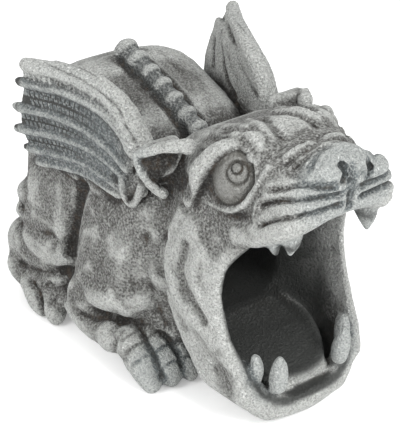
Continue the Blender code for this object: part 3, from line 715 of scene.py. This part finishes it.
# the brown-black wash in the recesses, deepened as painted shade in the deep hollows of the form, the
# creases, the right ear and the right nostril, and thinned as painted light on the lips, the cheek and the
# left jaw
wash_and_shade_depth = -crisp - 0.45 * broad - 0.9 * vast - 0.2
wash_and_shade_depth -= 0.6 * on_left_jaw + 0.3 * painted_highlight + 0.25 * cheek + 0.05 * on_back
wash_and_shade_depth += crease_wash_and_shade + 2 * right_nostril + 0.8 * in_ear + 0.5 * socket_edge + rings
painted("recess", np.clip(wash_and_shade_depth, 0, 1))
# the hollow painted near black: partly a darker finish inside, partly painted shade
painted("hollow", softened(in_hollow[:, None], 2)[:, 0])
painted("eye", in_eye * (1 - 0.8 * rings))
facing_out = np.clip(2 * skin_normals[:, 0] * np.sign(skin[:, 0]) + 0.8, 0, 1)
# a touch of blue-grey on the wings, the nose, the spine, the teeth, the fangs and the front toes
blue = np.maximum.reduce([
    near_to((98, -20, 225), (26, 130, 60), 0.3) * (1 - 0.8 * on_bar) * facing_out,
    near_to((12, -285, 245), (40, 26, 40), 0.4),
    0.5 * on_spine,
    near_to((42, -245, 65), (22, 26, 34), 0.4),
    near_to((36, -262, 188), (24, 26, 16), 0.4),
    near_to((78, -140, 20), (30, 26, 24), 0.5),
])
painted("blueness", blue)

# the weave of the membranes: how far along the ribs each place lies, and which row it is in between them
ROWS = 2  # rows of small squares between two ribs
BLOCK = 5.6  # size of one square
WEAVE_END, WEAVE_FADE = 100, 45  # where along the ribs the squares end, and over what length they fade
WIDEST_GAP = 28  # beyond this two lines do not bound one membrane
half_ribs = (11, 5, 5, 5, 5, 5)  # half width of the top bar, then of the ribs
clear, alongs = [], []
for rib, half in zip(wing_ribs, half_ribs):
    gap, along, _ = nearest_on_run(folded, eased_line([(x + RIB_RELIEF, y, z) for x, y, z in rib], 4))
    clear.append(gap - half)
    alongs.append(along)
clear, alongs = np.array(clear), np.array(alongs)
between = np.argmin(clear[:-1] + clear[1:], axis=0)
every = np.arange(len(skin))
above, below = (np.maximum(clear[between + k, every], 0.01) for k in (0, 1))
weave = np.zeros((len(skin), 3))
weave[:, 0] = alongs[between, every]
weave[:, 1] = (between + above / (above + below)) * ROWS * BLOCK
on_membrane = np.clip(np.minimum(above, below) / 1.5, 0, 1) * facing_out
on_membrane *= (above + below < WIDEST_GAP) & (folded[:, 0] > 80)
on_membrane *= np.clip((WEAVE_END - weave[:, 0]) / WEAVE_FADE, 0, 1)
layer = casting.data.attributes.new("weave", "FLOAT_VECTOR", "POINT")
layer.data.foreach_set("vector", weave.astype(np.float32).ravel())
painted("membrane", on_membrane)


def stone_finish():
    material = bpy.data.materials.new("weathered_cast_stone_and_painted_light")
    material.use_nodes = True
    tree = material.node_tree
    shader = tree.nodes["Principled BSDF"]
    shader.inputs["Metallic"].default_value = 0

    def node(kind, **settings):
        made = tree.nodes.new(kind)
        for key, value in settings.items():
            setattr(made, key, value)
        return made

    def attribute(name):
        return node("ShaderNodeAttribute", attribute_name=name).outputs["Fac"]

    place = node("ShaderNodeTexCoord").outputs["Object"]

    def grains(size, detail, rough):
        """Specks about that many millimetres across."""
        texture = node("ShaderNodeTexNoise")
        texture.inputs["Scale"].default_value = 1 / (size * MM)
        texture.inputs["Detail"].default_value = detail
        texture.inputs["Roughness"].default_value = rough
        tree.links.new(place, texture.inputs["Vector"])
        return texture.outputs["Fac"]

    def ramp(value, low, high, start=0.0, end=1.0):
        """Start where the value is low, end where it is high, and a soft change in between."""
        fit = node("ShaderNodeMapRange", interpolation_type="SMOOTHSTEP")
        for socket, number in zip(("From Min", "From Max", "To Min", "To Max"), (low, high, start, end)):
            fit.inputs[socket].default_value = number
        tree.links.new(value, fit.inputs["Value"])
        return fit.outputs["Result"]

    def product(*values):
        first = values[0]
        for value in values[1:]:
            multiply = node("ShaderNodeMath", operation="MULTIPLY")
            tree.links.new(first, multiply.inputs[0])
            if isinstance(value, (int, float)):
                multiply.inputs[1].default_value = value
            else:
                tree.links.new(value, multiply.inputs[1])
            first = multiply.outputs[0]
        return first

    def tint(under, over, amount):
        """One coat of paint laid over another."""
        mix = node("ShaderNodeMix", data_type="RGBA")
        for socket, value in ((mix.inputs[6], under), (mix.inputs[7], over), (mix.inputs[0], amount)):
            if isinstance(value, (tuple, float, int)):
                socket.default_value = value
            else:
                tree.links.new(value, socket)
        return mix.outputs[2]

    squares = node("ShaderNodeTexBrick")
    woven = node("ShaderNodeAttribute", attribute_name="weave")
    tree.links.new(woven.outputs["Vector"], squares.inputs["Vector"])
    pitch = {"Scale": 1, "Mortar Size": 1.1, "Mortar Smooth": 0.5, "Brick Width": BLOCK, "Row Height": BLOCK}
    for socket, number in pitch.items():
        squares.inputs[socket].default_value = number

    # the coats, from the stone itself up to the last dusting; painted light and shade are laid in among them
    shaded_stone, lit_stone = (0.125, 0.122, 0.112, 1), (0.36, 0.364, 0.345, 1)
    bluish, pale_bluish = (0.20, 0.232, 0.245, 1), (0.30, 0.365, 0.38, 1)
    pale_sand, dark_sand = (0.56, 0.565, 0.545, 1), (0.062, 0.060, 0.054, 1)
    stain = (0.10, 0.097, 0.088, 1)
    umber, rust = (0.030, 0.026, 0.022, 1), (0.105, 0.068, 0.038, 1)
    dry_brush_and_highlight = (0.84, 0.855, 0.825, 1)
    woven_gap = (0.055, 0.055, 0.050, 1)
    glazed = (0.105, 0.101, 0.088, 1)
    inner = (0.022, 0.024, 0.022, 1)

    sand = grains(size=2.1, detail=3, rough=0.62)
    blotch = grains(size=9, detail=4, rough=0.65)
    grit = grains(size=1.5, detail=2, rough=0.5)
    # the pale sand shows most on the painted lit tone of the stone
    sandy = product(ramp(sand, 0.49, 0.60), ramp(attribute("swell"), 0, 0.5, 0.35, 0.75))
    # where the brown-black wash goes, and where it stands in as painted shade
    wash_and_shade_amount = product(ramp(attribute("recess"), 0.02, 0.5), ramp(sand, 0.62, 0.42, 0.78, 0.95))
    # the pale dry brush, laid on more thickly as painted highlights where the ridge value takes them
    brushed_and_lit = product(
        ramp(attribute("ridge"), 0.06, 0.6), ramp(sand, 0.36, 0.52, 0.62, 1), ramp(grit, 0.38, 0.54, 0.55, 1)
    )
    # the brown-black wash colour, also laid as painted shade in the deepest recesses
    wash = tint(umber, rust, product(ramp(blotch, 0.50, 0.62), 0.55))
    # the stone in a painted shaded tone and a painted lit tone, mixed by the painted light and shade in
    # swell
    colour = tint(shaded_stone, lit_stone, ramp(attribute("swell"), 0.05, 0.95))
    colour = tint(colour, bluish, product(attribute("blueness"), 0.7))
    colour = tint(colour, pale_sand, sandy)
    colour = tint(colour, dark_sand, product(ramp(sand, 0.47, 0.36), 0.92))
    colour = tint(colour, stain, product(ramp(blotch, 0.50, 0.68), 0.3))
    colour = tint(colour, wash, wash_and_shade_amount)
    colour = tint(colour, dry_brush_and_highlight, brushed_and_lit)
    colour = tint(colour, pale_bluish, product(attribute("blueness"), 0.2))
    colour = tint(colour, woven_gap, product(attribute("membrane"), squares.outputs["Fac"], 0.9))
    colour = tint(colour, glazed, product(attribute("eye"), 0.75))
    # the hollow painted near black, partly its darker finish and partly painted shade
    colour = tint(colour, inner, product(attribute("hollow"), 0.95))
    tree.links.new(colour, shader.inputs["Base Color"])
    shader.inputs["Roughness"].default_value = 0.82

    bump = node("ShaderNodeBump")
    bump.inputs["Strength"].default_value = 1
    bump.inputs["Distance"].default_value = 6 * MM
    roughness = product(ramp(attribute("hollow"), 0, 1, 1, 0.25), ramp(attribute("eye"), 0, 1, 1, 0.35))
    tree.links.new(product(ramp(sand, 0.3, 0.7), roughness), bump.inputs["Height"])
    tree.links.new(bump.outputs["Normal"], shader.inputs["Normal"])
    return material


casting.data.materials.append(stone_finish())
for face in casting.data.polygons:
    face.use_smooth = True
clay = bmesh.new()
clay.from_mesh(casting.data)
SHIFT = Vector(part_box("gargoyle")[1]).y - REAR * MM  # from the middle of the back to the part's own origin
bmesh.ops.translate(clay, verts=clay.verts, vec=(0, SHIFT, 0))
clay.to_mesh(casting.data)
clay.free()
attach(casting, "root")
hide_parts("gargoyle")

# The floor: a sheet of pale translucent card, much wider than the casting, which just stands on it. A little
# light comes up through it from beneath.

FLOOR_HALF = 6  # metres

sheet = bmesh.new()
bmesh.ops.create_grid(sheet, x_segments=1, y_segments=1, size=FLOOR_HALF)
floor = loose_object(sheet, "floor")
card = bpy.data.materials.new("pale_card")
card.use_nodes = True
card_finish = {
    "Base Color": (0.95, 0.95, 0.95, 1),
    "Roughness": 0.9,
    "Emission Color": (1, 1, 1, 1),
    "Emission Strength": 0.22,
}
for socket, value in card_finish.items():
    card.node_tree.nodes["Principled BSDF"].inputs[socket].default_value = value
floor.data.materials.append(card)

# The light: a white cloth tent all round, with two square lamps behind diffusing cloth. The key stands high
# in front of the face, and a weaker one fills the creature's right side.

TENT_STRENGTH = 0.93

tent = bpy.data.worlds.new("tent")
bpy.context.scene.world = tent
tent.use_nodes = True
tent.node_tree.nodes["Background"].inputs["Color"].default_value = (1, 1, 1, 1)
tent.node_tree.nodes["Background"].inputs["Strength"].default_value = TENT_STRENGTH


def softbox(name, place, aim, size, power):
    lamp = bpy.data.lights.new(name, "AREA")
    lamp.size = size
    lamp.energy = power
    holder = bpy.data.objects.new(name, lamp)
    bpy.context.scene.collection.objects.link(holder)
    holder.location = place
    holder.rotation_euler = (Vector(aim) - Vector(place)).to_track_quat("-Z", "Y").to_euler()


softbox("key", place=(0.1, -1.3, 1.05), aim=(0, -0.1, 0.1), size=0.5, power=19)
softbox("fill", place=(-1.25, 0.0, 1.0), aim=(0, 0, 0.15), size=0.6, power=9)

# The camera: a long lens well above the casting, looking down on the creature's right side and into its
# gaping mouth.

AIM = (0.0736, SHIFT, 0.0652)
TURN, RISE, DISTANCE = math.radians(-37.6), math.radians(29.1), 1.375

bpy.context.scene.view_settings.view_transform = "Standard"
lens = bpy.data.cameras.new("camera")
lens.sensor_width = 36
lens.lens = 117.02
lens.clip_start = 0.01
camera = bpy.data.objects.new("camera", lens)
bpy.context.scene.collection.objects.link(camera)
back = Vector((math.sin(TURN) * math.cos(RISE), -math.cos(TURN) * math.cos(RISE), math.sin(RISE)))
camera.location = Vector(AIM) + back * DISTANCE
camera.rotation_euler = (-back).to_track_quat("-Z", "Y").to_euler()
bpy.context.scene.camera = camera
